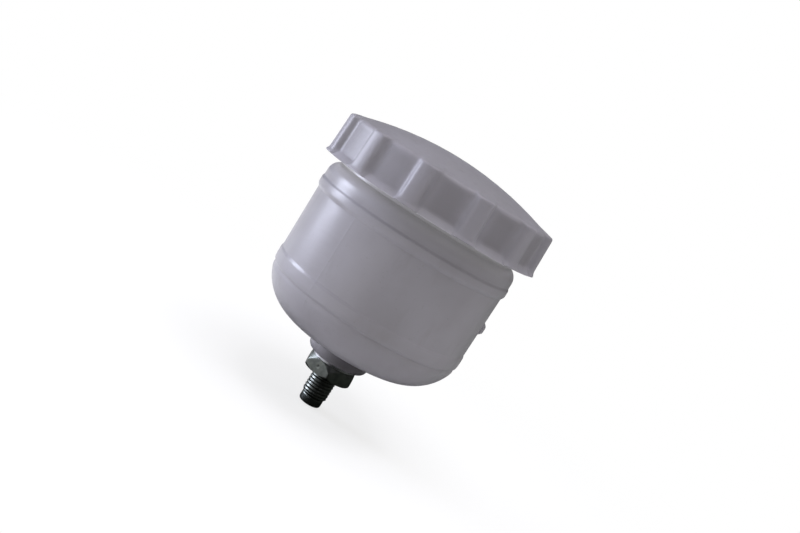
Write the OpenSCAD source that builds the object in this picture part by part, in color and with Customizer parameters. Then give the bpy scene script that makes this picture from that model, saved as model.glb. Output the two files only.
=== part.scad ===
// Brake fluid reservoir: a round moulded pot that screws into a cylinder's port by the threaded
// union under its floor, closed by a ribbed screw cap with a vented, domed top.
// Sizes are in millimetres, +Z points up the axis, and the origin is the centre of the union's
// seating face, under the hexagon. The front of the pot faces -Y and its level mark faces +X.

/* [Body] */
// Thickness of every moulded wall of the body
wall_t = 2.2; // [1.6:0.1:2.8]
// Outer radius of the plain wall, just above the lower bead
body_r = 38.85; // [37:0.05:41]
// How much the plain wall widens on its way up to the upper bead
wall_draft = 0.1; // [0:0.05:0.4]
// Height of the plain wall between the two beads
wall_h = 24.9; // [16:0.1:60]
// Radius of the rounded lower edge
corner_r = 18.3; // [12:0.1:22]
// Angle below the horizontal at which the lower edge starts to round
corner_lean = 17; // [5:1:25]

/* [Beads and shoulder] */
// Height of the narrow band under the lower bead
foot_band_h = 1.8; // [1:0.1:4]
// How far the foot band lies inside the plain wall
foot_step = 0.35; // [0.1:0.05:0.8]
// Height of the lower bead, its ramps included
lower_bead_h = 5.8; // [4:0.1:8]
// How far the lower bead stands proud of the wall
lower_bead_rise = 0.35; // [0.2:0.05:1]
// Height of the upper bead, its ramps included
upper_bead_h = 4.6; // [3.4:0.1:7]
// How far the upper bead stands proud of the wall
upper_bead_rise = 0.78; // [0.3:0.02:1.2]
// Height of the plain band between the upper bead and the shoulder
shoulder_band_h = 1.9; // [1:0.1:4]
// How far the shoulder band stands proud of the wall
shoulder_band_rise = 0.35; // [0:0.05:0.6]
// Radius of the rounded shoulder
shoulder_r = 5; // [4:0.1:6]

/* [Neck and thread] */
// How far the neck lies inside the plain wall
neck_step = 3.05; // [2.6:0.05:5]
// Height of the neck above the top of the shoulder
neck_h = 12; // [11.5:0.1:16]
// Rise of the cap thread in one turn
thread_pitch = 4; // [3.6:0.1:4.6]
// Number of turns of thread on the neck and in the cap
thread_turns = 1.5; // [1:0.25:1.5]
// How far each thread ridge stands out from its wall
thread_depth = 1.3; // [1:0.1:1.4]
// Width of a thread ridge at its root
thread_root_w = 1.7; // [1.4:0.1:1.8]
// Width of a thread ridge at its crest
thread_crest_w = 0.9; // [0.6:0.1:1.2]
// Gap between a thread crest and the wall that it faces
thread_gap = 0.5; // [0.35:0.05:0.7]

/* [Cap] */
// Thickness of the cap's skirt between the ribs, at its top
skirt_t = 3.1; // [2.6:0.1:4]
// How much the ribs widen on their way down
cap_draft = 0.6; // [0:0.1:1]
// Height of the cap from its lower edge to its top rim
cap_h = 15.6; // [14.5:0.1:16.4]
// Height of the dome above the top rim
dome_h = 6.55; // [4:0.05:10]
// How far the dome's edge lies inside the skirt
dome_inset = 0.5; // [0.3:0.1:1]
// Thickness of the dome
dome_t = 2.4; // [1.8:0.1:3]
// Number of grip ribs round the cap
rib_count = 12; // [10:1:14]
// Angle that each grip rib takes up
rib_angle = 10; // [7:0.5:12]
// How far a rib stands proud of the skirt beside it
rib_rise = 2.4; // [1.2:0.1:3]
// Height of the flange round the cap's lower edge
flange_h = 1.7; // [1.2:0.1:2.6]
// How far the flange stands out past the ribs
flange_lip = 0.2; // [0.1:0.05:0.5]
// Diameter of the breather hole in the crown
vent_d = 1.6; // [1:0.1:2.5]

/* [Cap seal and baffle] */
// Thickness of the sealing ring
seal_t = 2; // [1.5:0.1:3]
// Gap between the sealing ring and the cap's bore
seal_gap = 0.4; // [0.3:0.05:0.6]
// Depth of the sealing land below the cap's top rim
land_depth = 2.9; // [2.5:0.1:3.4]
// Outer radius of the vent tube under the crown
tube_r = 3.5; // [3:0.1:4.5]
// Length of the vent tube below the dome
tube_h = 4.6; // [4:0.1:5]
// Outer radius of the splash baffle
baffle_r = 11; // [8:0.5:16]
// Thickness of the splash baffle
baffle_t = 1.2; // [0.8:0.1:1.6]

/* [Outlet boss and union] */
// Radius of the boss under the floor, where it joins the floor
boss_r = 12; // [11.4:0.1:15]
// Height of the boss
boss_h = 6.9; // [5:0.1:10]
// How much the boss narrows on its way down
boss_draft = 0.4; // [0:0.1:0.6]
// Rounding of the boss's lower edge
boss_round = 2.8; // [1:0.1:3]
// Thickness of the sealing washer between the boss and the hexagon
union_washer_t = 1; // [0.6:0.1:2]
// Radius of that sealing washer
union_washer_r = 8.8; // [8:0.1:9]
// Width of the union's hexagon across its flats
hex_af = 19; // [17:0.5:19]
// Height of the union's hexagon
hex_h = 5.4; // [4:0.1:8]
// Radius of the union's thread
union_r = 5; // [4.5:0.1:5.5]
// Length of the thread that enters the cylinder's port
port_thread_l = 9.6; // [7:0.1:14]
// Radius of the plain pilot at the union's end
pilot_r = 4.4; // [3.8:0.1:4.4]
// Length of that pilot
pilot_l = 3.2; // [1.5:0.1:6]
// Radius of the drilling through the union
union_bore_r = 2; // [1.5:0.1:2.5]
// Gap round the union in the holes that it passes through
union_hole_gap = 0.25; // [0.15:0.05:0.4]

/* [Lock nut] */
// Width of the lock nut across its flats
nut_af = 17; // [15:0.5:18]
// Height of the lock nut
nut_h = 5; // [4:0.1:8]
// Radius of the flat washer under the nut
nut_washer_r = 11; // [10.5:0.1:14]
// Thickness of that washer
nut_washer_t = 1.2; // [0.8:0.1:2]
// Gap between the nut's bore and the union's thread
nut_gap = 0.05; // [0.02:0.01:0.1]
// How far the union stands above the nut
union_stick_out = 2.2; // [1:0.1:4]

/* [Level mark] */
// Height of the level mark's centre above the floor's underside
mark_z = 32.5; // [24:0.1:40]
// Height of the raised level mark
mark_h = 5; // [2:0.1:7]
// How far the level mark stands proud of the wall
mark_rise = 1.2; // [0.4:0.1:1.6]
// Angle round the wall that the level mark takes up
mark_angle = 18; // [8:1:40]

/* [Hidden] */
$fn = 96;

// Every cutter runs this far past the face that it opens
over = 1;
// Threads and ribs are rooted this deep in the wall that carries them
root = 0.4;
// Angle step of an arc's points, and of the thread's rings
arc_step = 3;
dome_step = 0.8;
ring_step = 7.5;

// Levels of the body, from the union's seating face upwards
boss_z = hex_h + union_washer_t;
floor_z = boss_z + boss_h;
floor_top_z = floor_z + wall_t;
foot_z = floor_z + corner_r * (1 - sin(corner_lean));
foot_band_z = foot_z + foot_band_h;
wall_z = foot_band_z + lower_bead_h;
upper_bead_z = wall_z + wall_h;
shoulder_band_z = upper_bead_z + upper_bead_h;
shoulder_z = shoulder_band_z + shoulder_band_h;
shoulder_top_z = shoulder_z + shoulder_r;
rim_z = shoulder_top_z + neck_h;

// Radii of the body
neck_r = body_r - neck_step;
foot_r = body_r - foot_step;
corner_x = foot_r - corner_r * cos(corner_lean);
wall_top_r = body_r + wall_draft;
shoulder_band_r = wall_top_r + shoulder_band_rise;
shoulder_x = shoulder_band_r - shoulder_r;
inner_r = foot_r - wall_t;
neck_inner_r = neck_r - wall_t;

// Levels and radii of the cap, which hangs from its sealing land on the seal and the neck's rim
land_overhang = 0.3;
land_z = rim_z + seal_t;
cap_top_z = land_z + land_depth;
cap_z = cap_top_z - cap_h;
flange_z = cap_z + flange_h;
cap_bore_r = neck_r + thread_depth + thread_gap;
land_r = neck_inner_r - land_overhang;
skirt_r = cap_bore_r + skirt_t;
cap_top_r = skirt_r + rib_rise;
flange_r = cap_top_r + cap_draft + flange_lip;
dome_base_r = skirt_r - dome_inset;
dome_r = (dome_base_r ^ 2 + dome_h ^ 2) / (2 * dome_h);
dome_z = cap_top_z + dome_h - dome_r;
crown_z = cap_top_z + dome_h - dome_t;

// The edge between dome and skirt is rounded
edge_r = 1;
edge_x = skirt_r - edge_r;
edge_z = dome_z + sqrt((dome_r - edge_r) ^ 2 - edge_x ^ 2);
edge_start = asin(edge_x / (dome_r - edge_r));

// Ribs round the skirt
rib_pitch = 360 / rib_count;
rib_turn = 19.7;

// Levels of the lock nut and of the union's upper end
nut_washer_z = floor_top_z;
nut_z = nut_washer_z + nut_washer_t;
union_top_z = nut_z + nut_h + union_stick_out;

// Levels of the vent tube and of the baffle that closes its end
tube_z = crown_z - tube_h;
tube_slot_w = 1.2;
tube_slot_h = 1.6;
tube_slot_drop = 0.6;
baffle_collar_t = 1.6;
baffle_collar_h = 1.8;
tube_fit = 0.05;

// Helix that both threads follow; the cap's ridge runs half a pitch below the neck's
thread_drop = 9;
neck_thread_z = rim_z - thread_drop;
cap_thread_start = 135;
thread_lead = 30;

// Points of an arc round [x, z], from angle a0 to a1
function arc(x, z, r, a0, a1, step = arc_step) =
    let (n = max(2, ceil(abs(a1 - a0) / step)))
    [for (i = [0:n]) let (a = a0 + (a1 - a0) * i / n) [x + r * cos(a), z + r * sin(a)]];

// Height of the thread's helix at an angle
function helix_z(a) = neck_thread_z + thread_pitch * a / 360;

// A ridge of thread: side is 1 for a ridge that stands outwards and -1 for one that stands inwards
module thread_ridge(wall_r, side, a0, drop) {
    rings = round(thread_turns * 360 / ring_step);
    lead_rings = thread_lead / ring_step;
    foot = wall_r - side * root;
    points = [for (i = [0:rings])
        let (
            a = a0 + i * ring_step,
            z = helix_z(a) - drop,
            grown = min(1, i / lead_rings, (rings - i) / lead_rings),
            crest = wall_r + side * (thread_depth * grown - root / 4 * (1 - grown)),
            section = [[foot, -thread_root_w / 2], [crest, -thread_crest_w / 2],
                [crest, thread_crest_w / 2], [foot, thread_root_w / 2]]
        )
        for (k = [0:3]) let (p = section[side > 0 ? k : 3 - k]) [p.x * cos(a), p.x * sin(a), z + p.y]];
    sides = [for (i = [0:rings - 1]) for (k = [0:3])
        let (a = 4 * i + k, b = 4 * i + (k + 1) % 4)
        each [[a, b, a + 4], [b, b + 4, a + 4]]];
    last = 4 * rings;
    ends = [[0, 2, 1], [0, 3, 2], [last, last + 1, last + 2], [last, last + 2, last + 3]];
    polyhedron(points = points, faces = concat(sides, ends), convexity = 8);
}

// A hexagonal prism whose ends are turned to a cone, a blunt one below and a steep one above
module chamfered_hex(af, h, low, high) {
    corner = af / 2 / cos(30);
    steep = 30;
    intersection() {
        cylinder(r = corner, h = h, $fn = 6);
        rotate_extrude()
            polygon([[0, 0], [corner + 0.1 - low, 0], [corner + 0.1, low],
                [corner + 0.1, h - high], [corner + 0.1 - high * tan(steep), h], [0, h]]);
    }
}

// Outline of the body from its axis to its outer face, with the beads and the shoulder
module body_outline() {
    bead_ramp = 1.2;
    polygon(concat(
        [[0, floor_z]],
        arc(corner_x, floor_z + corner_r, corner_r, -90, -corner_lean),
        [[foot_r, foot_band_z - 0.2],
            [body_r + lower_bead_rise / 2, foot_band_z + bead_ramp / 2],
            [body_r + lower_bead_rise, foot_band_z + 2 * bead_ramp],
            [body_r + lower_bead_rise, wall_z - bead_ramp],
            [body_r, wall_z],
            [wall_top_r, upper_bead_z],
            [wall_top_r + upper_bead_rise * 0.8, upper_bead_z + bead_ramp],
            [wall_top_r + upper_bead_rise, upper_bead_z + 1.6 * bead_ramp],
            [wall_top_r + upper_bead_rise, shoulder_band_z - bead_ramp],
            [shoulder_band_r, shoulder_band_z]],
        arc(shoulder_x, shoulder_z, shoulder_r, 0, 90),
        [[0, shoulder_top_z]]
    ));
}

// Outline of the space inside the body, open at the top of the neck
module cavity_outline() {
    inner_corner_r = corner_r - wall_t;
    inner_lean = acos((inner_r - corner_x) / inner_corner_r);
    inner_shoulder_r = shoulder_r - wall_t;
    polygon(concat(
        [[0, floor_top_z]],
        arc(corner_x, floor_z + corner_r, inner_corner_r, -90, -inner_lean),
        arc(inner_r - inner_shoulder_r, shoulder_z, inner_shoulder_r, 0, 80),
        [[neck_inner_r, shoulder_z + inner_shoulder_r],
            [neck_inner_r, rim_z + over],
            [0, rim_z + over]]
    ));
}

// A raised bar with bevelled edges, bent round the wall on the side away from the seam
module level_mark() {
    z = floor_z + mark_z;
    rotate([0, 0, -mark_angle / 2])
        rotate_extrude(angle = mark_angle)
            polygon([[body_r - root, z - mark_h / 2],
                [body_r, z - mark_h / 2],
                [body_r + mark_rise, z - mark_h / 6],
                [body_r + mark_rise, z + mark_h / 6],
                [body_r, z + mark_h / 2],
                [body_r - root, z + mark_h / 2]]);
}

// Outline of the boss, with a rounded lower edge
module boss_outline() {
    foot = boss_r - boss_draft;
    polygon(concat(
        [[0, boss_z]],
        arc(foot - boss_round, boss_z + boss_round, boss_round, -90, 0),
        [[boss_r, floor_z + wall_t / 2],
            [0, floor_z + wall_t / 2]]
    ));
}

// The pot: floor, wall, neck and boss moulded in one
module reservoir_body() {
    color("#d3d1da")
    difference() {
        union() {
            rotate_extrude() body_outline();
            translate([0, 0, shoulder_z])
                cylinder(r = neck_r, h = rim_z - shoulder_z);
            rotate_extrude() boss_outline();
            thread_ridge(neck_r, 1, 0, 0);
            level_mark();
        }
        rotate_extrude() cavity_outline();
        translate([0, 0, boss_z - over])
            cylinder(r = union_r + union_hole_gap, h = boss_h + wall_t + 2 * over);
    }
}

// Outline of the cap's crown, skirt and flange
module crown_outline() {
    flange_round = 0.6;
    flange_slope = 0.4;
    polygon(concat(
        [[0, cap_z]],
        arc(flange_r - flange_round, cap_z + flange_round, flange_round, -90, 0),
        [[flange_r, flange_z - flange_slope],
            [skirt_r + cap_draft / 2, flange_z]],
        arc(edge_x, edge_z, edge_r, 0, 90 - edge_start),
        arc(0, dome_z, dome_r, 90 - edge_start, 90, dome_step)
    ));
}

// A grip rib with a flat top level with the rim
module grip_rib() {
    rotate([0, 0, -rib_angle / 2])
        rotate_extrude(angle = rib_angle)
            polygon([[edge_x, flange_z - 2 * root],
                [cap_top_r + cap_draft, flange_z - 2 * root],
                [cap_top_r, cap_top_z],
                [edge_x, cap_top_z]]);
}

// Outline of the space inside the cap: the threaded bore, the sealing land and the dome
module cap_cavity_outline() {
    inner_dome_r = dome_r - dome_t;
    polygon(concat(
        [[0, cap_z - over],
            [cap_bore_r, cap_z - over],
            [cap_bore_r, land_z],
            [land_r, land_z]],
        arc(0, dome_z, inner_dome_r, acos(land_r / inner_dome_r), 90, dome_step)
    ));
}

// The tube under the crown that carries the baffle, slotted so that air reaches the vent
module vent_tube() {
    difference() {
        translate([0, 0, tube_z])
            cylinder(r = tube_r, h = tube_h + dome_t / 2);
        for (a = [0, 90])
            rotate([0, 0, a])
                translate([-tube_r - over, -tube_slot_w / 2, crown_z - tube_slot_h - tube_slot_drop])
                    cube([2 * (tube_r + over), tube_slot_w, tube_slot_h]);
        translate([0, 0, tube_z - over])
            cylinder(r = vent_d, h = tube_h);
    }
}

// The cap: domed crown, ribbed skirt, internal thread and vent tube
module screw_cap() {
    color("#c9c7d1")
    difference() {
        union() {
            difference() {
                union() {
                    rotate_extrude() crown_outline();
                    for (i = [0:rib_count - 1])
                        rotate([0, 0, rib_turn + i * rib_pitch])
                            grip_rib();
                }
                rotate_extrude() cap_cavity_outline();
            }
            thread_ridge(cap_bore_r, -1, cap_thread_start, thread_pitch / 2);
            vent_tube();
        }
        translate([0, 0, crown_z - tube_slot_h])
            cylinder(d = vent_d, h = tube_slot_h + dome_t + over);
    }
}

// A flat ring, the form of the seal and of both washers
module flat_ring(outer_r, hole_r, z, t) {
    translate([0, 0, z])
        difference() {
            cylinder(r = outer_r, h = t);
            translate([0, 0, -over])
                cylinder(r = hole_r, h = t + 2 * over);
        }
}

// The rubber ring that the cap presses onto the neck's rim
module cap_seal() {
    color("#26262a")
        flat_ring(cap_bore_r - seal_gap, neck_inner_r, rim_z, seal_t);
}

// The disc that keeps splashes off the breather, pushed onto the vent tube by its collar
module splash_baffle() {
    hole_r = tube_r + tube_fit;
    color("#d8d6df")
    difference() {
        union() {
            translate([0, 0, tube_z - baffle_t])
                cylinder(r = baffle_r, h = baffle_t);
            translate([0, 0, tube_z - baffle_t])
                cylinder(r = hole_r + baffle_collar_t, h = baffle_t + baffle_collar_h);
        }
        translate([0, 0, tube_z])
            cylinder(r = hole_r, h = baffle_collar_h + over);
    }
}

// The union: pilot, port thread, hexagon and the shank that passes up through the boss
module outlet_union() {
    chamfer = 0.5;
    port_end_z = -port_thread_l;
    pilot_end_z = port_end_z - pilot_l;
    color("#6f736b")
    difference() {
        union() {
            rotate_extrude()
                polygon([[0, pilot_end_z],
                    [pilot_r - chamfer, pilot_end_z],
                    [pilot_r, pilot_end_z + chamfer],
                    [pilot_r, port_end_z],
                    [union_r - chamfer, port_end_z],
                    [union_r, port_end_z + chamfer],
                    [union_r, union_top_z - chamfer],
                    [union_r - chamfer, union_top_z],
                    [0, union_top_z]]);
            rotate([0, 0, -86.6])
                chamfered_hex(hex_af, hex_h, 1.3, 3.3);
        }
        translate([0, 0, pilot_end_z - over])
            cylinder(r = union_bore_r, h = union_top_z - pilot_end_z + 2 * over);
    }
}

// The sealing washer between the union's hexagon and the boss
module union_washer() {
    color("#b9bcc0")
        flat_ring(union_washer_r, union_r + union_hole_gap, hex_h, union_washer_t);
}

// The flat washer that spreads the nut's load on the floor
module nut_washer() {
    color("#a5a8ab")
        flat_ring(nut_washer_r, union_r + union_hole_gap, nut_washer_z, nut_washer_t);
}

// The nut inside the pot that clamps the union to the floor
module lock_nut() {
    color("#8d9093")
    difference() {
        translate([0, 0, nut_z])
            chamfered_hex(nut_af, nut_h, 1, 1.7);
        translate([0, 0, nut_z - over])
            cylinder(r = union_r + nut_gap, h = nut_h + 2 * over);
    }
}

reservoir_body();
screw_cap();
cap_seal();
splash_baffle();
outlet_union();
union_washer();
nut_washer();
lock_nut();
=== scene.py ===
"""A brake fluid reservoir: moulded pot, ribbed screw cap and steel outlet union, dressed on its CAD frame."""
import logging
import math
from dataclasses import dataclass
from enum import Enum
from typing import Any, Mapping, Optional, Sequence, Union

import bpy
import numpy as np
from mathutils import Matrix, Vector


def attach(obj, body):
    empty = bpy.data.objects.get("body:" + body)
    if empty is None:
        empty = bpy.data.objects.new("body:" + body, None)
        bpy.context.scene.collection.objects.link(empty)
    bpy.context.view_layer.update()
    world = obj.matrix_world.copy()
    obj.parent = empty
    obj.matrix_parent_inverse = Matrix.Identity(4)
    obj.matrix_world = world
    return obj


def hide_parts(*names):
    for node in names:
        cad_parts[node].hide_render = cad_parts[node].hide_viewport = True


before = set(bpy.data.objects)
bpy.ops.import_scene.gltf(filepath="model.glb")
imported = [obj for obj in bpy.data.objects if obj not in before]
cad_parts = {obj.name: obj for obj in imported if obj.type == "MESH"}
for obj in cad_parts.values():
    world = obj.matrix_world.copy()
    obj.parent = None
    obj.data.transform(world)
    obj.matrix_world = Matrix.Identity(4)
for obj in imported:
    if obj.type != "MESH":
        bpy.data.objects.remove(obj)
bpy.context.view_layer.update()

MM = 0.001
LOG = logging.getLogger("reservoir")
WHITE = (1.0, 1.0, 1.0)

Pair = tuple[float, float]
Colour = tuple[float, float, float]
Path = list[Pair]


class Body(Enum):
    """The frame's bodies that skins ride on."""

    POT = "pot"
    CAP = "cap"


class Slot(Enum):
    """The record's slots that the skins' finishes come from."""

    POT = "body_plastic"
    CAP = "cap_plastic"
    STEEL = "plated_steel"


# ---- shader expressions

Input = Union["Wire", float, Sequence[float]]
Inputs = Mapping[Union[str, int], Input]


class Wire:
    """An output socket that can stand in an arithmetic expression."""

    def __init__(self, shader: "Shader", socket: bpy.types.NodeSocket) -> None:
        """Wraps an output socket of a shader's tree."""
        self.shader = shader
        self.socket = socket

    def math(self, operation: str, first: Input, second: Input = 0.0) -> "Wire":
        """The result of a Math node with this operation and these values."""
        return self.shader.add("ShaderNodeMath", {"operation": operation}, {0: first, 1: second}).out()

    def __add__(self, other: Input) -> "Wire":
        """self + other."""
        return self.math("ADD", self, other)

    def __radd__(self, other: Input) -> "Wire":
        """other + self."""
        return self.math("ADD", other, self)

    def __sub__(self, other: Input) -> "Wire":
        """self - other."""
        return self.math("SUBTRACT", self, other)

    def __rsub__(self, other: Input) -> "Wire":
        """other - self."""
        return self.math("SUBTRACT", other, self)

    def __mul__(self, other: Input) -> "Wire":
        """self * other."""
        return self.math("MULTIPLY", self, other)

    def __rmul__(self, other: Input) -> "Wire":
        """other * self."""
        return self.math("MULTIPLY", other, self)

    def clamp(self, low: float, high: float) -> "Wire":
        """The value spread over low to high and cut off to 0 to 1."""
        settings = {"clamp": True, "interpolation_type": "SMOOTHSTEP"}
        return self.shader.add("ShaderNodeMapRange", settings, {0: self, 1: low, 2: high}).out()

    def over(self, span: Pair) -> "Wire":
        """The value spread over a span in mm and cut off to 0 to 1."""
        return self.clamp(span[0] * MM, span[1] * MM)

    def split(self) -> tuple["Wire", "Wire", "Wire"]:
        """The vector's X, Y and Z."""
        node = self.shader.add("ShaderNodeSeparateXYZ", {}, {"Vector": self})
        return node.out("X"), node.out("Y"), node.out("Z")


class Built:
    """A node that has been added to a shader."""

    def __init__(self, shader: "Shader", node: bpy.types.Node) -> None:
        """Wraps a node of a shader's tree."""
        self.shader = shader
        self.node = node

    def out(self, name: Union[str, int] = 0) -> Wire:
        """One of the node's outputs, by name or number."""
        return Wire(self.shader, self.node.outputs[name])


class Shader:
    """A material or world tree that is filled node by node."""

    def __init__(self, owner: Union[bpy.types.Material, bpy.types.World]) -> None:
        """Clears the owner's tree.

        Args:
            owner: the material or world to fill.
        """
        owner.use_nodes = True
        self.owner = owner
        self.tree = owner.node_tree
        self.tree.nodes.clear()

    def add(self, kind: str, settings: Mapping[str, Any], inputs: Inputs) -> Built:
        """Adds any node.

        Args:
            kind: the node's type.
            settings: its properties.
            inputs: the values or wires of its sockets, by name or number.

        Returns:
            The node, wrapped.
        """
        node = self.tree.nodes.new(kind)
        for key, value in settings.items():
            setattr(node, key, value)
        for key, value in inputs.items():
            if isinstance(value, Wire):
                self.tree.links.new(value.socket, node.inputs[key])
            else:
                node.inputs[key].default_value = value
        return Built(self, node)

    def place(self) -> Wire:
        """The point on the object, in metres."""
        return self.add("ShaderNodeTexCoord", {}, {}).out("Object")

    def mix(self, factor: Input, first: Wire, second: Wire) -> Wire:
        """A shader between two, the first at 0 and the second at 1."""
        return self.add("ShaderNodeMixShader", {}, {0: factor, 1: first, 2: second}).out()

    def even(self, kind: str, colour: Colour, strength: float) -> Wire:
        """A shader of an emitting kind, with one colour and strength."""
        return self.add(kind, {}, {"Color": (*colour, 1.0), "Strength": strength}).out()

    def noise(self, place: Wire, size: float, detail: float, stretch: Sequence[float] = (1, 1, 1)) -> Wire:
        """A noise pattern around 0.5.

        Args:
            place: the point on the object.
            size: the pattern's size in metres.
            detail: how many finer layers it has.
            stretch: how much longer the pattern is along each axis.

        Returns:
            The noise's value.
        """
        scale = tuple(1.0 / s for s in stretch)
        point = self.add("ShaderNodeMapping", {}, {"Vector": place, "Scale": scale}).out()
        inputs = {"Vector": point, "Scale": 1.0 / size, "Detail": detail}
        return self.add("ShaderNodeTexNoise", {}, inputs).out()

    def blend(self, factor: Input, low: Input, high: Input) -> Wire:
        """A colour between two, low at 0 and high at 1."""
        inputs = {"Factor": factor, 6: _opaque(low), 7: _opaque(high)}
        return self.add("ShaderNodeMix", {"data_type": "RGBA"}, inputs).out(2)

    def bump(self, height: Wire, distance: float, strength: float, normal: Optional[Wire] = None) -> Wire:
        """A normal bent by a height pattern.

        Args:
            height: the pattern.
            distance: how high it stands, in metres.
            strength: how much of it shows.
            normal: a normal to start from.

        Returns:
            The bent normal.
        """
        inputs = {"Height": height, "Distance": distance, "Strength": strength}
        if normal is not None:
            inputs["Normal"] = normal
        return self.add("ShaderNodeBump", {}, inputs).out()

    def surface(self, inputs: Inputs) -> None:
        """Ends the tree in a Principled shader with these sockets."""
        shader = self.add("ShaderNodeBsdfPrincipled", {}, inputs).out()
        self.add("ShaderNodeOutputMaterial", {}, {"Surface": shader})


def _opaque(colour: Input) -> Input:
    """A colour with its alpha, or a wire as it is."""
    return colour if isinstance(colour, Wire) else (*colour[:3], 1.0)


# ---- finishes


@dataclass(frozen=True)
class Pattern:
    """A noise pattern, spread over two of its values and cut off to 0 to 1; its size is in mm."""

    size: float
    detail: float
    low: float
    high: float
    stretch: tuple[float, float, float] = (1, 1, 1)

    def on(self, place: Wire) -> Wire:
        """The pattern at a point on the object."""
        noise = place.shader.noise(place, self.size * MM, self.detail, self.stretch)
        return noise.clamp(self.low, self.high)


@dataclass(frozen=True)
class MilkyPlastic:
    """Moulded polyethylene that lets a little light through. Spans are in mm."""

    name: str
    colour: Colour
    cloud: Colour
    stain: Colour
    roughness: float = 0.26
    clouds: Pattern = Pattern(22, 3.0, 0.3, 0.7)
    stains: Pattern = Pattern(7, 5.0, 0.55, 0.8, (1, 1, 2.5))
    specks: Pattern = Pattern(1.1, 2.0, 0.66, 0.74)
    rubs: Pattern = Pattern(3, 6.0, 0.5, 0.75, (1, 1, 5))
    stain_share: float = 0.4
    speck_share: float = 0.25
    rub_dull: float = 0.08
    grain: float = 0.9 * MM
    grain_depth: float = 0.010 * MM
    grain_dull: float = 0.06
    flow: float = 5 * MM
    flow_depth: float = 0.05 * MM
    flow_share: float = 0.6
    inner_light: float = 0.3
    inner_reach: float = 2.2 * MM
    # painted shade in the cap's hollows between the ribs
    hollows: int = 0
    hollow_turn: float = 0.0
    hollow_edge: Pair = (-0.5, 0.9)
    hollow_low: Pair = (72.4, 75.0)
    hollow_high: Pair = (84.2, 86.8)
    hollow_shade: Colour = (0.10, 0.09, 0.09)
    hollow_share: float = 0.3
    # painted glow: emission at the pot's shoulder, brighter on the left, standing in for light through the
    # wall
    glow: float = 0.0
    glow_share: float = 0.5
    glow_low: Pair = (64.4, 70.4)
    glow_high: Pair = (71.4, 73.4)
    glow_left: Pair = (10.0, 34.0)
    glow_base: float = 0.8
    glow_gain: float = 0.6
    # painted shade on the boss, darker towards its right
    foot_shade: float = 0.0
    foot_high: Pair = (12.0, 13.6)
    foot_right: Pair = (-9.0, 5.0)
    foot_base: float = 0.25
    foot_gain: float = 0.75
    foot_shade_colour: Colour = (0.03, 0.027, 0.03)

    def build(self) -> bpy.types.Material:
        """Builds the material.

        Returns:
            The material, with clouds, faint stains, moulding grain and scuffs, and where set, a painted glow
            at the shoulder, painted shade in the hollows and painted shade on the boss.
        """
        shader = Shader(bpy.data.materials.new(self.name))
        place = shader.place()
        stained = self.stains.on(place) * self.stain_share + self.specks.on(place) * self.speck_share
        colour = shader.blend(self.clouds.on(place), self.colour, self.cloud)
        colour = shader.blend(stained, colour, self.stain)
        if self.hollows:
            # painted shade in the hollows between the ribs
            colour = shader.blend(self._hollow_painted_shade(place) * self.hollow_share, colour, self.hollow_shade)
        if self.foot_shade:
            # painted shade on the boss
            colour = shader.blend(self._foot(place) * self.foot_shade, colour, self.foot_shade_colour)
        grain = shader.noise(place, self.grain, 3.0)
        flow = shader.noise(place, self.flow, 2.0, (1, 1, 0.35))
        normal = shader.bump(flow, self.flow_depth, self.flow_share)
        rubbed = self.rubs.on(place) * self.rub_dull
        shader.surface({
            "Base Color": colour,
            "Roughness": self.roughness + rubbed + grain * self.grain_dull,
            "Normal": shader.bump(grain, self.grain_depth, 1.0, normal),
            "IOR": 1.5,
            "Subsurface Weight": self.inner_light,
            "Subsurface Radius": (1.0, 0.95, 0.95),
            "Subsurface Scale": self.inner_reach,
            # painted glow at the shoulder, as emission
            "Emission Color": self._painted_glow(place),
            "Emission Strength": self.glow,
        })
        return shader.owner

    def _painted_glow(self, place: Wire) -> Wire:
        """A painted glow at the shoulder, standing in for light through the milky wall, brighter on its left.

        Args:
            place: the point on the object.

        Returns:
            A pale colour at the shoulder, fading to black below it and on the neck.
        """
        x, _, z = place.split()
        left = self.glow_base + (0.0 - x).over(self.glow_left) * self.glow_gain
        share = z.over(self.glow_low) * (1.0 - z.over(self.glow_high))
        return place.shader.blend(share * left * self.glow_share, (0.0, 0.0, 0.0), (1.0, 0.99, 1.0))

    def _foot(self, place: Wire) -> Wire:
        """Where shade is painted on the boss, darker towards its right, from 0 to 1."""
        x, _, z = place.split()
        return (1.0 - z.over(self.foot_high)) * (self.foot_base + x.over(self.foot_right) * self.foot_gain)

    def _hollow_painted_shade(self, place: Wire) -> Wire:
        """Where shade is painted in the hollows between the ribs, where the thin skirt shows the dark inside.

        Args:
            place: the point on the object.

        Returns:
            1 in the middle of each hollow, fading to 0 at the ribs, the rim and the flange.
        """
        x, y, z = place.split()
        turn = (x.math("ARCTAN2", y, x) - math.radians(self.hollow_turn)) * float(self.hollows)
        between = (0.0 - turn.math("COSINE", turn)).clamp(*self.hollow_edge)
        return between * z.over(self.hollow_low) * (1.0 - z.over(self.hollow_high))


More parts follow.
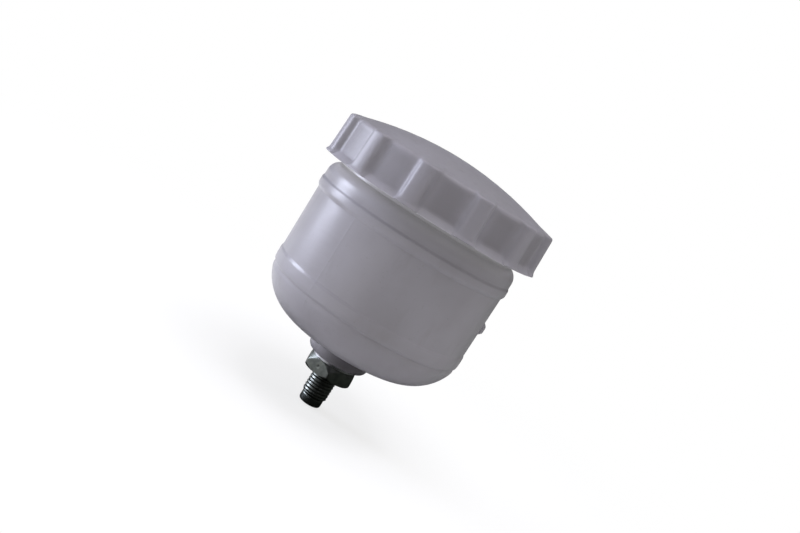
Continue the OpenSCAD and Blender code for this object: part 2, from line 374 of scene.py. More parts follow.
@dataclass(frozen=True)
class TurnedMetal:
    """Machined and plated metal with fine tool lines and dull patches."""

    name: str
    colour: Colour
    patch: Colour
    roughness: float
    patches: Pattern = Pattern(2.2, 5.0, 0.42, 0.66)
    specks: Pattern = Pattern(0.35, 2.0, 0.6, 0.75)
    patch_share: float = 0.5
    speck_share: float = 0.15
    patch_dull: float = 0.08
    line_size: float = 0.25 * MM
    line_depth: float = 0.006 * MM
    line_share: float = 0.8
    line_dull: float = 0.05

    def build(self) -> bpy.types.Material:
        """Builds the material.

        Returns:
            The material, with tool lines round the axis and patchy plating.
        """
        shader = Shader(bpy.data.materials.new(self.name))
        place = shader.place()
        patches, specks = self.patches.on(place), self.specks.on(place)
        lines = shader.noise(place, self.line_size, 2.0, (14, 14, 1))
        dull = patches * self.patch_share + specks * self.speck_share
        shader.surface({
            "Base Color": shader.blend(dull, self.colour, self.patch),
            "Metallic": 1.0,
            "Roughness": self.roughness + patches * self.patch_dull + lines * self.line_dull,
            "Normal": shader.bump(lines, self.line_depth, self.line_share),
        })
        return shader.owner


@dataclass(frozen=True)
class MouldedRubber:
    """Matt black rubber."""

    name: str
    colour: Colour
    bloom: Colour
    roughness: float = 0.62
    blooms: Pattern = Pattern(4, 4.0, 0.4, 0.75)
    bloom_dull: float = 0.2
    grain: float = 0.4 * MM
    grain_depth: float = 0.02 * MM
    grain_share: float = 0.7

    def build(self) -> bpy.types.Material:
        """Builds the material.

        Returns:
            The material, with a grey bloom and a fine grain.
        """
        shader = Shader(bpy.data.materials.new(self.name))
        place = shader.place()
        bloom = self.blooms.on(place)
        grain = shader.noise(place, self.grain, 3.0)
        shader.surface({
            "Base Color": shader.blend(bloom, self.colour, self.bloom),
            "Roughness": self.roughness + bloom * self.bloom_dull,
            "Normal": shader.bump(grain, self.grain_depth, self.grain_share),
        })
        return shader.owner


@dataclass(frozen=True)
class PaleGround:
    """A floor that is white to the camera, with the object's soft shadow, and uneven in reflections.

    Spans are in mm: reach from the axis, and X for what reflections see.
    """

    shadow_share: float = 0.25
    shadow_reach: Pair = (50, 300)
    mirrored: float = 0.5
    paint: Colour = (0.86, 0.86, 0.86)
    dim: float = 0.006
    dim_from: Pair = (-80, -20)
    grey: float = 0.15
    grey_from: Pair = (30, 110)

    def build(self) -> bpy.types.Material:
        """Builds the material.

        Returns:
            The material, partly lit near the object and white by itself further out.
        """
        shader = Shader(bpy.data.materials.new("pale_ground"))
        path = shader.add("ShaderNodeLightPath", {}, {})
        glossy = path.out("Is Glossy Ray")
        seen = path.out("Is Camera Ray") + path.out("Is Transmission Ray") + glossy * self.mirrored
        place = shader.place()
        across = place.split()[0]
        reach = shader.add("ShaderNodeVectorMath", {"operation": "LENGTH"}, {0: place}).out("Value")
        kept = (1.0 - reach.over(self.shadow_reach)) * self.shadow_share
        lit = shader.add("ShaderNodeBsdfDiffuse", {}, {"Color": _opaque(self.paint)}).out()
        white = shader.even("ShaderNodeEmission", WHITE, 1.0)
        dim = shader.even("ShaderNodeEmission", (0.9, 1.0, 0.95), self.dim)
        grey = shader.even("ShaderNodeEmission", (0.9, 1.0, 0.92), self.grey)
        plain = shader.mix(seen * (1.0 - kept), lit, white)
        uneven = shader.mix(across.over(self.grey_from), dim, grey)
        mixed = shader.mix(glossy * across.over(self.dim_from), plain, uneven)
        shader.add("ShaderNodeOutputMaterial", {}, {"Surface": mixed})
        return shader.owner


# ---- mesh making


def arc(x: float, z: float, r: float, start: float, end: float, step: float) -> Path:
    """Points of an arc.

    Args:
        x: the centre's radius from the axis, in mm.
        z: the centre's height, in mm.
        r: the arc's radius, in mm.
        start: the first angle, in degrees.
        end: the last angle, in degrees.
        step: the largest angle between two points, in degrees.

    Returns:
        The arc's points, both ends included.
    """
    count = max(2, math.ceil(abs(end - start) / step))
    angles = np.radians(np.linspace(start, end, count + 1))
    return [(x + r * math.cos(a), z + r * math.sin(a)) for a in angles]


def rounded(corners: Sequence[tuple[float, float, float]], steps: int = 5) -> Path:
    """A path whose corners are rounded.

    Args:
        corners: radius, height and rounding of each corner, in mm.
        steps: how many segments a rounding has.

    Returns:
        The path's points.
    """
    path: Path = []
    last = len(corners) - 1
    for i, (x, z, rounding) in enumerate(corners):
        if rounding <= 0 or i in (0, last):
            path.append((x, z))
            continue
        here = np.array((x, z))
        back = np.array(corners[i - 1][:2]) - here
        ahead = np.array(corners[i + 1][:2]) - here
        reach = min(rounding, np.linalg.norm(back) * 0.48, np.linalg.norm(ahead) * 0.48)
        a = here + back / np.linalg.norm(back) * reach
        b = here + ahead / np.linalg.norm(ahead) * reach
        for t in np.linspace(0, 1, steps + 1):
            point = a * (1 - t) ** 2 + here * 2 * t * (1 - t) + b * t ** 2
            path.append((float(point[0]), float(point[1])))
    return path


def spaced(path: Path, longest: float) -> Path:
    """The same path with no step longer than a length.

    Args:
        path: the path's points.
        longest: the longest step, in mm.

    Returns:
        The path with points added on its long steps.
    """
    dense: Path = [path[0]]
    for a, b in zip(path[:-1], path[1:]):
        count = max(1, math.ceil(math.dist(a, b) / longest))
        dense += [(a[0] + (b[0] - a[0]) * k / count, a[1] + (b[1] - a[1]) * k / count)
                  for k in range(1, count + 1)]
    return dense


def smooth_min(a: np.ndarray, b: np.ndarray, k: float) -> np.ndarray:
    """The smaller of two fields, blended over a width k."""
    return np.minimum(a, b) - np.maximum(k - np.abs(a - b), 0) ** 2 / (4 * k)


def smooth_max(a: np.ndarray, b: np.ndarray, k: float) -> np.ndarray:
    """The larger of two fields, blended over a width k."""
    return -smooth_min(-a, -b, k)


def smooth_step(x: np.ndarray) -> np.ndarray:
    """0 below 0, 1 above 1 and smooth between."""
    t = np.clip(x, 0, 1)
    return t * t * (3 - 2 * t)


class Surface:
    """A skin turned round the axis, and the ridges on it, gathered into one piece."""

    def __init__(self, turn: np.ndarray, radii: np.ndarray, heights: np.ndarray) -> None:
        """Starts with a surface that closes round the axis and along its profile.

        Args:
            turn: angles in radians, one per turn step.
            radii: radii in mm, by turn step and place along the profile.
            heights: heights in mm, the same, or one row for all turn steps.
        """
        self.points: list[np.ndarray] = []
        self.faces: list[np.ndarray] = []
        self.total = 0
        a = turn[:, None] + np.zeros_like(radii)
        grid = np.stack([radii * np.cos(a), radii * np.sin(a), heights + np.zeros_like(radii)], -1)
        turns, along = radii.shape
        i, j = np.arange(turns)[:, None], np.arange(along)[None, :]
        n, m = (i + 1) % turns, (j + 1) % along
        self._take(grid, np.stack([i * along + j, n * along + j, n * along + m, i * along + m], -1))

    def _take(self, points: np.ndarray, faces: np.ndarray) -> None:
        """Adds points and faces.

        Args:
            points: the points in mm.
            faces: the faces, counting from the first of these points.
        """
        self.points.append(points.reshape(-1, 3) * MM)
        self.faces.append(faces.reshape(-1, 4) + self.total)
        self.total += len(self.points[-1])

    def tube(self, rings: np.ndarray) -> None:
        """Adds a closed ridge from its sections.

        Args:
            rings: points in mm, by section and place round the section.
        """
        count, around = rings.shape[:2]
        i, j = np.arange(count - 1)[:, None], np.arange(around)[None, :]
        m = (j + 1) % around
        quads = np.stack([i * around + j, i * around + m, (i + 1) * around + m, (i + 1) * around + j], -1)
        caps = []
        for ring, flip in ((0, True), (count - 1, False)):
            base = ring * around
            for k in range(around // 2 - 1):
                cap = [base + k, base + k + 1, base + around - 2 - k, base + around - 1 - k]
                caps.append(cap[::-1] if flip else cap)
        self._take(rings, np.concatenate([quads.reshape(-1, 4), np.array(caps)]))

    def piece(self, name: str, sharp: float, finish: bpy.types.Material, body: Body, slot: Slot,
              stands_for: str) -> None:
        """Args:
            name: the piece's name.
            sharp: the angle in degrees above which an edge stays sharp.
            finish: its material.
            body: the body that it rides on.
            slot: the record's slot that its finish comes from; not used.
            stands_for: the CAD node that it replaces.
        """
        mesh = bpy.data.meshes.new(name)
        mesh.from_pydata(np.concatenate(self.points).tolist(), [], np.concatenate(self.faces).tolist())
        mesh.polygons.foreach_set("use_smooth", [True] * len(mesh.polygons))
        mesh.set_sharp_from_angle(angle=math.radians(sharp))
        mesh.materials.append(finish)
        piece = placed(name, mesh)
        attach(piece, body.value)
        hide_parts(stands_for)
        LOG.info("%s: %d faces", name, len(mesh.polygons))


def placed(name: str, data: bpy.types.ID) -> bpy.types.Object:
    """Puts a new object into the scene.

    Args:
        name: its name.
        data: its mesh, lamp or camera.

    Returns:
        The object.
    """
    thing = bpy.data.objects.new(name, data)
    bpy.context.scene.collection.objects.link(thing)
    return thing


@dataclass
class Thread:
    """The coarse thread of the neck and the cap, one and a half turns of a rounded ridge."""

    pitch: float = 4.0
    turns: float = 1.5
    depth: float = 1.3
    root_w: float = 1.7
    crest_w: float = 0.9
    flank: Pair = (0.82, 0.12)
    crest: Pair = (0.96, 0.14)
    lead: float = 30.0
    embed: float = 0.4
    ring_step: float = 3.0

    def ridge(self, surface: Surface, wall_r: float, side: int, start: float, low: float) -> None:
        """Adds the ridge to a surface.

        Args:
            surface: the surface that gets it.
            wall_r: the radius of the wall that carries it, in mm.
            side: 1 for a ridge that stands outwards, -1 for inwards.
            start: the angle of its first end, in degrees.
            low: the height of its helix at angle 0, in mm.
        """
        steps = np.arange(round(self.turns * 360 / self.ring_step) + 1)
        grown = smooth_step(np.minimum(steps, steps[::-1]) * self.ring_step / self.lead)
        half = [(0, self.root_w / 2), (self.flank[0], self.crest_w / 2 + self.flank[1]),
                (self.crest[0], self.crest_w / 2 - self.crest[1])]
        section = [(rise, -dz) for rise, dz in half] + [(1, 0)] + half[::-1] + [(0, 0)]
        rings = []
        for a, g in zip(np.radians(start + steps * self.ring_step), grown):
            crest = self.depth * g - self.embed / 4 * (1 - g)
            ring = []
            for rise, dz in section[::side]:
                r = wall_r + side * (-self.embed + rise * (self.embed + crest))
                ring.append((r * math.cos(a), r * math.sin(a), low + self.pitch * a / math.tau + dz))
            rings.append(ring)
        surface.tube(np.array(rings))


# ---- the pot


@dataclass
class Pot:
    """The moulded pot: boss, floor, beaded wall, shoulder and threaded neck."""

    boss_z: float = 6.4
    boss_r: float = 12.5
    boss_foot_r: float = 12.2
    boss_round: float = 2.6
    floor_z: float = 13.3
    floor_top_z: float = 15.5
    hole_r: float = 5.25
    corner_x: float = 21.0
    corner_r: float = 18.3
    corner_lean: float = 17.0
    foot_r: float = 38.5
    foot_band_z: float = 28.05
    wall_t: float = 2.2
    wall_z: float = 33.85
    wall_r: float = 38.85
    wall_top_r: float = 38.95
    ramp: float = 0.9
    lower_rise: float = 0.35
    upper_rise: float = 0.78
    upper_bead_z: float = 58.75
    band_z: float = 63.35
    band_r: float = 39.3
    shoulder_z: float = 65.25
    shoulder_r: float = 5.0
    neck_r: float = 35.8
    neck_inner_r: float = 33.6
    rim_z: float = 82.25
    thread_drop: float = 9.0
    mark_z: float = 45.8
    mark_h: float = 5.0
    mark_rise: float = 1.2
    mark_half_angle: float = 9.0
    mark_edge_angle: float = 0.9
    seam_angle: float = -120.0
    seam_rise: float = 0.03
    seam_half_width: float = 0.14
    outer_step: float = 0.9
    inner_step: float = 4.0
    mark_step: float = 0.25
    sharp: float = 50.0

    def outer_path(self) -> Path:
        """Draws the outer profile.

        Returns:
            Its points, from the boss's hole to the neck's rim.
        """
        ramp = self.ramp
        foot = arc(self.corner_x, self.floor_z + self.corner_r, self.corner_r, -90, -self.corner_lean, 3)
        meet = math.degrees(math.acos((self.neck_r - self.band_r + self.shoulder_r) / self.shoulder_r))
        shoulder = arc(self.band_r - self.shoulder_r, self.shoulder_z, self.shoulder_r, 0, meet, 6)
        low = self.wall_r + self.lower_rise
        high = self.wall_top_r + self.upper_rise
        beads = [
            (*foot[-1], 0), (self.foot_r, self.foot_band_z - 0.2, 0.3),
            (self.wall_r + self.lower_rise / 2, self.foot_band_z + ramp / 2, 0.2),
            (low, self.foot_band_z + 2 * ramp, 0.5), (low, self.wall_z - ramp, 0.35),
            (self.wall_r, self.wall_z, 0.3), (self.wall_top_r, self.upper_bead_z, 0.3),
            (self.wall_top_r + self.upper_rise * 0.8, self.upper_bead_z + ramp, 0.3),
            (high, self.upper_bead_z + 1.6 * ramp, 0.3), (high, self.band_z - ramp, 0.35),
            (self.band_r, self.band_z, 0.3), (*shoulder[0], 0),
        ]
        edge_x, edge_z = self.boss_foot_r - self.boss_round, self.boss_z + self.boss_round
        edge = arc(edge_x, edge_z, self.boss_round, -90, 0, 8)
        boss = [(self.hole_r, self.boss_z)] + edge[:-1]
        boss += rounded([(*edge[-1], 0), (self.boss_r, self.floor_z, 0.9), (*foot[0], 0)])
        neck = rounded([(*shoulder[-2], 0), (*shoulder[-1], 0.5), (self.neck_r, self.rim_z, 0.5),
                        (self.neck_inner_r, self.rim_z, 0.5), (self.neck_inner_r, self.rim_z - 4, 0)])
        return boss[:-1] + foot[:-1] + rounded(beads)[:-1] + shoulder[:-2] + neck

    def inner_path(self) -> Path:
        """Draws the inner profile.

        Returns:
            Its points, from the neck's inside down to the hole in the floor.
        """
        r = self.foot_r - self.wall_t
        corner_r = self.corner_r - self.wall_t
        lean = math.degrees(math.acos((r - self.corner_x) / corner_r))
        shoulder_r = self.shoulder_r - self.wall_t
        shoulder = arc(r - shoulder_r, self.shoulder_z, shoulder_r, 80, 0, 8)
        foot = arc(self.corner_x, self.floor_z + self.corner_r, corner_r, -lean, -90, 5)
        top = (self.neck_inner_r, self.shoulder_z + shoulder_r)
        return [top] + shoulder + foot + [(self.hole_r, self.floor_top_z)]

    def angles(self) -> np.ndarray:
        """Chooses the turn steps.

        Returns:
            The steps in degrees, closer together at the level mark's ends and the mould seam.
        """
        steps = list(np.arange(0, 360, 1.5))
        for end in (-self.mark_half_angle, self.mark_half_angle):
            steps += list(end + np.arange(-0.9, 1.0, 0.3))
        for seam in (self.seam_angle, self.seam_angle + 180):
            steps += list(seam + np.array([-0.4, -0.25, -0.12, 0.0, 0.12, 0.25, 0.4]))
        return np.unique(np.round(np.mod(steps, 360), 3))

    def relief(self, turn: np.ndarray, r: np.ndarray, z: np.ndarray) -> np.ndarray:
        """How far the level mark and the seam stand out.

        Args:
            turn: angles in degrees, as a column.
            r: the profile's radii in mm, as a row.
            z: the profile's heights in mm, as a row.

        Returns:
            The rise in mm at each angle and profile point.
        """
        off = np.abs((turn + 180) % 360 - 180)
        along = smooth_step((self.mark_half_angle - off) / self.mark_edge_angle + 0.5)
        across = smooth_step((self.mark_h / 2 - np.abs(z - self.mark_z)) / (self.mark_h / 3))
        on_wall = (r > self.wall_r - 0.5) * (np.abs(z - self.mark_z) < self.mark_h)
        mark = self.mark_rise * along * across * on_wall
        spot = np.abs((turn - self.seam_angle + 90) % 180 - 90) * math.pi / 180 * self.wall_r
        outside = (z > self.foot_band_z - 4) * (z < self.shoulder_z) * (r > self.wall_r - 1)
        seam = self.seam_rise * np.clip(1 - spot / (2 * self.seam_half_width), 0, 1) * outside
        return mark + seam

    def build(self, finish: bpy.types.Material, thread: Thread) -> None:
        """Makes the pot with its neck thread.

        Args:
            finish: the pot's material.
            thread: the thread that the neck carries.
        """
        path = spaced(self.outer_path(), self.outer_step) + spaced(self.inner_path(), self.inner_step)
        path = self._with_mark_rows(path, self.mark_z + np.arange(-2.75, 2.9, self.mark_step))
        turn = self.angles()
        r, z = np.array(path).T[:, None]
        radii = r + self.relief(turn[:, None], r, z)
        surface = Surface(np.radians(turn), radii, z)
        thread.ridge(surface, self.neck_r, 1, 0.0, self.rim_z - self.thread_drop)
        surface.piece("pot_skin", self.sharp, finish, Body.POT, Slot.POT, "reservoir_body")

    def _with_mark_rows(self, path: Path, rows: np.ndarray) -> Path:
        """The path with close rows where the level mark stands.

        Args:
            path: the closed profile.
            rows: the heights in mm that the mark needs.

        Returns:
            The path with its own points there replaced.
        """
        kept = [p for p in path if not (p[0] > self.wall_r - 0.5 and rows[0] < p[1] < rows[-1])]
        at = next(i for i, p in enumerate(kept) if p[0] > self.wall_r - 0.5 and p[1] >= rows[-1])
        lean = (self.wall_top_r - self.wall_r) / (self.upper_bead_z - self.wall_z)
        return kept[:at] + [(self.wall_r + (z - self.wall_z) * lean, z) for z in rows] + kept[at:]


# ---- the cap


@dataclass
class ScrewCap:
    """The screw cap: dome, twelve grip ribs with hollows between them, flange, thread and vent tube."""

    z: float = 71.55
    top_z: float = 87.15
    top_r: float = 43.1
    draft: float = 0.6
    skirt_r: float = 40.7
    skirt_draft: float = 0.3
    flange_z: float = 73.25
    flange_r: float = 43.9
    dome_r: float = 126.63
    apex_z: float = 93.7
    rib_count: int = 12
    rib_turn: float = 19.7
    rib_half: float = 5.0
    bore_r: float = 37.6
    land_r: float = 33.3
    land_z: float = 84.25
    dome_t: float = 2.4
    tube_r: float = 3.5
    tube_hole_r: float = 1.6
    tube_z: float = 86.7
    tube_hole_top: float = 90.3
    vent_r: float = 0.8
    core: Pair = (33.0, 80.0)
    rays_span: Pair = (1.0, 48.0)
    halvings: int = 34
    rim_gap: float = 4.9
    thread_drop: float = 9.0
    thread_start: float = 135.0
    rib_round: float = 2.6
    rim_round: float = 1.0
    edge_round: float = 1.4
    root_round: float = 1.8
    ledge_round: float = 2.2
    ledge_slope: float = 0.42
    lip_round: float = 0.5
    foot_round: float = 0.4
    inner_step: float = 4.0
    sharp: float = 50.0

    def field(self, r: np.ndarray, z: np.ndarray, turn: np.ndarray) -> np.ndarray:
        """Signed distance-like field of the filled cap, negative inside.

        Args:
            r: radii in mm.
            z: heights in mm.
            turn: angles from the nearest rib's middle, in radians.

        Returns:
            The field's value at each point.
        """
        dome = np.hypot(r, z - self.apex_z + self.dome_r) - self.dome_r
        down = (self.top_z - z) / (self.top_z - self.flange_z)
        crown = smooth_max(dome, r - self.skirt_r - self.skirt_draft * down, self.edge_round)
        lip = (z - self.flange_z) + (r - self.skirt_r) * self.ledge_slope
        flange = smooth_max(lip, r - self.flange_r, self.lip_round)
        rib_r = self.top_r + self.draft * down
        side = (np.abs(turn) - math.radians(self.rib_half)) * r
        rib = smooth_max(smooth_max(r - rib_r, side, self.rib_round), z - self.top_z, self.rim_round)
        solid = smooth_min(smooth_min(crown, flange, self.ledge_round), rib, self.root_round)
        return smooth_max(solid, self.z - z, self.foot_round)

    def rays(self) -> np.ndarray:
        """Chooses the directions in which the outer profile is traced.

        Returns:
            Angles in radians about the core, from the lower edge past the ribs to the dome's middle.
        """
        route: Path = [(38.2, self.z), (self.flange_r - 0.4, self.z)]
        lip = [(self.flange_r, self.z + 0.3), (self.flange_r, self.flange_z - 0.3)]
        ledge = [(self.flange_r - 0.5, self.flange_z), (self.skirt_r + 0.3, self.flange_z + 0.2)]
        rim = [(self.skirt_r, self.top_z - 1.8), (self.top_r, self.top_z), (39.0, self.top_z + 0.6)]
        crown = (38.6, 38, 37, 36, 34, 31, 27, 22, 16, 10, 5, 2.5)
        route = spaced(route, 0.8) + spaced(lip, 0.2) + spaced(ledge, 0.3)
        route += spaced([(self.skirt_r, self.flange_z + 0.5), (self.skirt_r, self.top_z - 2.0)], 0.45)
        route += spaced(rim, 0.15)
        route += [(r, self.apex_z - r * r / (2 * self.dome_r)) for r in crown]
        angles = np.unwrap([math.atan2(z - self.core[1], r - self.core[0]) for r, z in route])
        return np.maximum.accumulate(angles)

    def angles(self) -> np.ndarray:
        """Chooses the turn steps.

        Returns:
            The steps in degrees, close together at the ribs' edges.
        """
        pitch = 360 / self.rib_count
        edge = np.array([-1.6, -1.1, -0.75, -0.5, -0.25, 0.0, 0.25, 0.5, 0.75, 1.1, 1.6])
        hollow = np.arange(7.6, 22.5, 1.24)
        rib = np.concatenate([-self.rib_half + edge, [-2.4, 0, 2.4], self.rib_half + edge, hollow])
        return np.concatenate([self.rib_turn + k * pitch + rib for k in range(self.rib_count)])

    def outer(self, turn: np.ndarray) -> tuple[np.ndarray, np.ndarray]:
        """Radii and heights of the outer surface.

        Args:
            turn: turn steps in degrees.

        Returns:
            Radii and heights in mm, by turn step and place along the profile.
        """
        rays, (x, z) = self.rays(), self.core
        pitch = 360 / self.rib_count
        off = np.radians((turn - self.rib_turn + pitch / 2) % pitch - pitch / 2)[:, None]
        near, far = (np.full((len(turn), len(rays)), end) for end in self.rays_span)
        for _ in range(self.halvings):
            middle = (near + far) / 2
            inside = self.field(x + middle * np.cos(rays), z + middle * np.sin(rays), off) < 0
            near = np.where(inside, middle, near)
            far = np.where(inside, far, middle)
        return x + near * np.cos(rays), z + near * np.sin(rays)

    def inner_path(self) -> Path:
        """Draws the inner profile.

        Returns:
            Its points, from the vent hole down the tube and out to the bore's lower edge.
        """
        dome_z = self.apex_z - self.dome_r
        r = self.dome_r - self.dome_t
        at_tube = math.degrees(math.acos(self.tube_r / r))
        at_land = math.degrees(math.acos(self.land_r / r))
        dome = arc(0, dome_z, r, at_tube, at_land, 1.2)
        tube = rounded([(self.vent_r, self.apex_z - 0.2, 0), (self.vent_r, self.tube_hole_top, 0.1),
                        (self.tube_hole_r, self.tube_hole_top, 0.1), (self.tube_hole_r, self.tube_z, 0.2),
                        (self.tube_r, self.tube_z, 0.3), (*dome[0], 0.5), (*dome[1], 0)], 3)
        skirt = rounded([(*dome[-2], 0), (*dome[-1], 0.3), (self.land_r, self.land_z, 0.4),
                         (self.bore_r, self.land_z, 0.4), (self.bore_r, self.z, 0.5), (38.0, self.z, 0)], 3)
        return tube[:-1] + dome[1:-1] + skirt[1:-1]

    def build(self, finish: bpy.types.Material, thread: Thread) -> None:
        """Makes the cap with its thread.

        Args:
            finish: the cap's material.
            thread: the thread that the cap carries.
        """
        turn = self.angles()
        vent = [(self.vent_r + 0.15, self.apex_z - 0.02)]
        inner = np.array(vent + spaced(self.inner_path(), self.inner_step))
        r, z = (np.hstack([outer, np.tile(row, (len(turn), 1))])
                for outer, row in zip(self.outer(turn), inner.T))
        surface = Surface(np.radians(turn), r, z)
        low = self.top_z - self.rim_gap - self.thread_drop - thread.pitch / 2
        thread.ridge(surface, self.bore_r, -1, self.thread_start, low)
        surface.piece("cap_skin", self.sharp, finish, Body.CAP, Slot.CAP, "screw_cap")


# ---- the outlet union


@dataclass
class OutletUnion:
    """The steel union: pilot, fine thread, chamfered hexagon and the shank through the boss."""

    bore_r: float = 2.0
    pilot_r: float = 4.4
    pilot_l: float = 3.2
    thread_l: float = 9.6
    thread_r: float = 5.0
    pitch: float = 1.25
    thread_depth: float = 0.24
    groove_steep: float = 1.15
    crest_flat: float = 0.06
    run_in: float = 0.5
    run_out: float = 0.8
    relief: float = 0.7
    hex_h: float = 5.4
    hex_af: float = 18.3
    hex_corner: float = 3.4
    low_chamfer: float = 1.3
    high_chamfer: float = 2.8
    steepness: float = 30.0
    corner_cut: float = 0.05
    chamfer_out: float = 0.1
    corner_round: float = 0.08
    top_z: float = 23.9
    upper_thread_z: float = 15.0
    dot_z: float = 2.7
    dot_r: float = 0.8
    dot_depth: float = 0.12
    sharp: float = 35.0

    def hexagon(self, turn: np.ndarray, z: np.ndarray) -> np.ndarray:
        """Radius of the chamfered hexagon with its punched dot.

        Args:
            turn: angles in radians, as a column.
            z: heights in mm, as a row.

        Returns:
            Radii in mm.
        """
        sixth = math.pi / 3
        off = (turn - math.radians(self.hex_corner - 90)) % sixth - sixth / 2
        flat = self.hex_af / 2 / np.cos(off)
        corner = self.hex_af / 2 / math.cos(sixth / 2)
        blunt = corner + self.chamfer_out - self.low_chamfer + z
        rise = z - self.hex_h + self.high_chamfer
        steep = corner + self.chamfer_out - rise * math.tan(math.radians(self.steepness))
        cone = np.minimum(blunt, steep)
        r = smooth_min(flat, np.minimum(corner - self.corner_cut, cone), self.corner_round)
        face = math.radians(self.hex_corner - 120)
        reach = np.hypot(self.hex_af / 2 * np.sin(turn - face) / np.cos(off), z - self.dot_z)
        near = np.cos(turn - face) > 0.5
        return r - self.dot_depth * near * (1 - smooth_step(reach / self.dot_r))

    def angles(self) -> np.ndarray:
        """Chooses the turn steps.

        Returns:
            The steps in radians, closer together at the hexagon's corners and the dot.
        """
        steps = list(np.arange(0, 360, 2.0))
        for k in range(6):
            steps += list(self.hex_corner - 90 + 60 * k + np.array([-0.9, -0.4, 0.0, 0.4, 0.9]))
        steps += list(self.hex_corner - 120 + np.arange(-6.5, 6.6, 1.0))
        return np.radians(np.unique(np.round(np.mod(steps, 360), 2)))

    def thread(self, turn: np.ndarray, z: np.ndarray) -> np.ndarray:
        """Depth of the fine thread's groove.

        Args:
            turn: angles in radians, as a column.
            z: heights in mm, as a row.

        Returns:
            Depths in mm below the crest.
        """
        phase = ((z - self.pitch * turn / math.tau) / self.pitch) % 1.0
        steep = self.groove_steep
        groove = np.clip(steep - np.abs(phase - 0.5) * 2 * steep - self.crest_flat, 0, 1)
        lower = smooth_step((z + self.thread_l - 0.1) / self.run_in)
        lower *= smooth_step((-self.relief - z) / self.run_out)
        upper = smooth_step((z - self.upper_thread_z) / self.run_in)
        upper *= smooth_step((self.top_z - z) / self.run_in)
        return self.thread_depth * groove * (lower + upper)

    def build(self, finish: bpy.types.Material) -> None:
        """Makes the union.

        Args:
            finish: its material.
        """
        turn = self.angles()[:, None]
        end = -self.thread_l - self.pilot_l
        pilot = rounded([(self.bore_r, end + 0.3, 0), (self.bore_r + 0.3, end, 0.1), (self.pilot_r, end, 1.3),
                         (self.pilot_r, -self.thread_l - 0.3, 0.3),
                         (self.thread_r - 0.75, -self.thread_l, 0.1),
                         (self.thread_r, -self.thread_l + 0.75, 0)], 6)
        shank = [(self.thread_r, z) for z in np.arange(-self.thread_l + 0.82, -0.05, 0.075)]
        rows = np.concatenate([[0.0], np.linspace(0.0, 1.5, 12), np.linspace(1.65, self.hex_h, 26)])
        upper = [(self.thread_r, self.hex_h)]
        upper += [(self.thread_r, z) for z in np.arange(self.upper_thread_z, self.top_z - 0.5, 0.1)]
        upper += [(self.thread_r - 0.6, self.top_z), (self.bore_r + 0.3, self.top_z),
                  (self.bore_r, self.top_z - 0.3)]
        parts = [self._rows(pilot[:-1], turn, False), self._rows(shank, turn, True),
                 self._rows([(self.thread_r, 0.0)], turn, False),
                 (self.hexagon(turn, rows[None, :]), np.tile(rows, (len(turn), 1))),
                 self._rows(upper, turn, True)]
        radii, heights = (np.concatenate(side, 1) for side in zip(*parts))
        surface = Surface(turn[:, 0], radii, heights)
        surface.piece("union_skin", self.sharp, finish, Body.POT, Slot.STEEL, "outlet_union")

    def _rows(self, path: Path, turn: np.ndarray, threaded: bool) -> tuple[np.ndarray, np.ndarray]:
        """Radii and heights of a part of the profile, less the fine thread where it is threaded."""
        r, z = (row + np.zeros_like(turn) for row in np.array(path).T[:, None])
        return (r - self.thread(turn, z) if threaded else r), z


# ---- small fittings


@dataclass
class Fittings:
    """The small turned and moulded pieces that keep their CAD shape and get finishes and soft edges."""

    edge: float = 0.18 * MM
    segments: int = 2
    sharp: float = 30.0

    def dress(self, node: str, finish: bpy.types.Material) -> None:
        """Gives a CAD node its finish and eases its edges.

        Args:
            node: the node's name.
            finish: its material.
        """
        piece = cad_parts[node]
        piece.data.materials.clear()
        piece.data.materials.append(finish)
        ease = piece.modifiers.new("eased_edges", "BEVEL")
        ease.width = self.edge
        ease.segments = self.segments
        ease.limit_method = "ANGLE"
        ease.angle_limit = math.radians(self.sharp)
        LOG.info("%s: dressed", node)


# ---- studio


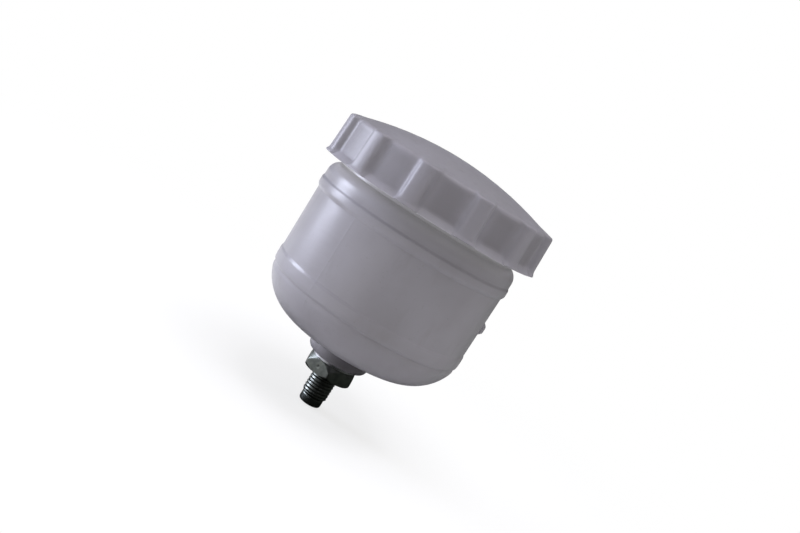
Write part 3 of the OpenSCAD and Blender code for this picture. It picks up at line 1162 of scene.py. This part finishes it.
@dataclass
class Studio:
    """Floor, world, lamps and the camera at the photograph's viewing angle."""

    focal_px: float = 977.0
    width_px: float = 800.0
    distance: float = 0.355
    height: float = 0.09335
    pitch: float = 7.16
    yaw: float = 0.28
    roll: float = 32.3
    floor_z: float = -0.0131
    ambient: float = 0.46
    glossy_left: float = 0.6
    glossy_front: float = 0.015
    glossy_right: float = 0.05
    right_span: Pair = (0.3, 0.95)
    left_span: Pair = (0.35, 0.95)
    left_top: Pair = (0.45, 0.85)
    aim_z: float = 0.045
    floor_half: float = 3.0

    def camera(self) -> None:
        """Makes the camera, turned so that the object leans as in the photograph."""
        data = bpy.data.cameras.new("camera")
        data.sensor_width = 36.0
        data.lens = self.focal_px / self.width_px * data.sensor_width
        data.clip_start = 0.01
        camera = bpy.context.scene.camera = placed("camera", data)
        down, right_turn = math.radians(self.pitch), math.radians(self.yaw)
        flat = Vector((math.sin(right_turn), math.cos(right_turn), 0.0))
        ahead = Vector((flat.x * math.cos(down), flat.y * math.cos(down), -math.sin(down)))
        right = Vector((math.cos(right_turn), -math.sin(right_turn), 0.0))
        up = right.cross(ahead)
        lean = math.radians(self.roll)
        x = right * math.cos(lean) + up * math.sin(lean)
        y = up * math.cos(lean) - right * math.sin(lean)
        turn = Matrix((x, y, -ahead)).transposed().to_4x4()
        camera.matrix_world = Matrix.Translation((0.0, -self.distance, self.height)) @ turn

    def lamp(self, name: str, azimuth: float, elevation: float, distance: float, size: Pair,
             power: float, colour: Colour = WHITE, mirrored: bool = True) -> None:
        """Makes a soft rectangular lamp that faces the pot.

        Args:
            name: the lamp's name.
            azimuth: degrees to the right of the viewer's side.
            elevation: degrees above the horizon.
            distance: metres from the pot's middle.
            size: width and height in metres.
            power: watts.
            colour: the light's colour.
            mirrored: True if it shows in reflections.
        """
        data = bpy.data.lights.new(name, "AREA")
        data.shape = "RECTANGLE"
        data.size, data.size_y = size
        data.energy = power
        data.color = colour
        lamp = placed(name, data)
        a, e = math.radians(azimuth), math.radians(elevation)
        out = Vector((math.sin(a) * math.cos(e), -math.cos(a) * math.cos(e), math.sin(e)))
        lamp.location = Vector((0.0, 0.0, self.aim_z)) + out * distance
        lamp.visible_glossy = mirrored
        lamp.rotation_mode = "QUATERNION"
        lamp.rotation_quaternion = out.to_track_quat("Z", "Y")

    def world(self) -> None:
        """Makes a surround that is white to the camera, soft for light and uneven in reflections."""
        world = bpy.data.worlds.new("surround")
        bpy.context.scene.world = world
        shader = Shader(world)
        path = shader.add("ShaderNodeLightPath", {}, {})
        across, _, up = shader.add("ShaderNodeTexCoord", {}, {}).out("Generated").split()
        glows = (((1.0, 0.97, 0.94), self.ambient), ((0.95, 1.0, 0.97), self.glossy_front),
                 ((0.95, 1.0, 0.95), self.glossy_right), ((0.88, 0.92, 1.0), self.glossy_left), (WHITE, 1.0))
        soft, dark, grey, bright, white = (shader.even("ShaderNodeBackground", *glow) for glow in glows)
        left = (0.0 - across).clamp(*self.left_span) * (1.0 - up.clamp(*self.left_top))
        glossy = shader.mix(left, shader.mix(across.clamp(*self.right_span), dark, grey), bright)
        lit = shader.mix(path.out("Is Glossy Ray"), soft, glossy)
        both = shader.mix(path.out("Is Camera Ray") + path.out("Is Transmission Ray"), lit, white)
        shader.add("ShaderNodeOutputWorld", {}, {"Surface": both})

    def floor(self) -> None:
        """Makes the pale floor under the union."""
        half = self.floor_half
        mesh = bpy.data.meshes.new("floor")
        corners = [(-half, -half, 0), (half, -half, 0), (half, half, 0), (-half, half, 0)]
        mesh.from_pydata(corners, [], [(0, 1, 2, 3)])
        mesh.materials.append(PaleGround().build())
        floor = placed("floor", mesh)
        floor.location.z = self.floor_z

    def build(self) -> None:
        """Makes the whole studio."""
        self.camera()
        self.world()
        self.floor()
        cool = (0.78, 0.82, 1.0)
        self.lamp("side_lamp", -94, 0, 0.55, (0.22, 0.45), 4.0, cool)
        self.lamp("fill_lamp", -72, 2, 0.55, (0.4, 0.5), 0.9, cool, mirrored=False)
        self.lamp("top_lamp", 15, 78, 0.7, (0.5, 0.5), 4.5, (0.93, 0.94, 1.0), mirrored=False)
        self.lamp("right_lamp", 112, 4, 0.8, (0.3, 0.6), 1.4, mirrored=False)
        bpy.context.scene.view_settings.view_transform = "Standard"


def main() -> None:
    """Builds the studio and dresses every piece."""
    logging.basicConfig(level=logging.INFO, format="%(name)s %(message)s")
    Studio().build()
    cap = ScrewCap()
    # the pot gets a painted glow at its shoulder and painted shade on its boss; the cap gets painted shade in
    # its hollows
    pot_plastic = MilkyPlastic("pot_plastic", (0.27, 0.26, 0.28), (0.245, 0.235, 0.25), (0.2, 0.19, 0.19),
                               glow=0.28, foot_shade=0.8).build()
    cap_plastic = MilkyPlastic("cap_plastic", (0.255, 0.245, 0.27), (0.235, 0.225, 0.242), (0.19, 0.18, 0.18),
                               roughness=0.4, hollows=cap.rib_count, hollow_turn=cap.rib_turn).build()
    plated = TurnedMetal("plated_steel", (0.20, 0.215, 0.195), (0.11, 0.115, 0.11), 0.32).build()
    bright = TurnedMetal("bright_washer", (0.6, 0.6, 0.62), (0.45, 0.45, 0.47), 0.3).build()
    rubber = MouldedRubber("seal_rubber", (0.018, 0.018, 0.019), (0.045, 0.045, 0.047)).build()
    thread = Thread()
    Pot().build(pot_plastic, thread)
    cap.build(cap_plastic, thread)
    OutletUnion().build(plated)
    fittings = Fittings()
    for node, finish in (("cap_seal", rubber), ("splash_baffle", cap_plastic), ("union_washer", bright),
                         ("nut_washer", plated), ("lock_nut", plated)):
        fittings.dress(node, finish)


if __name__ == "__main__":
    main()
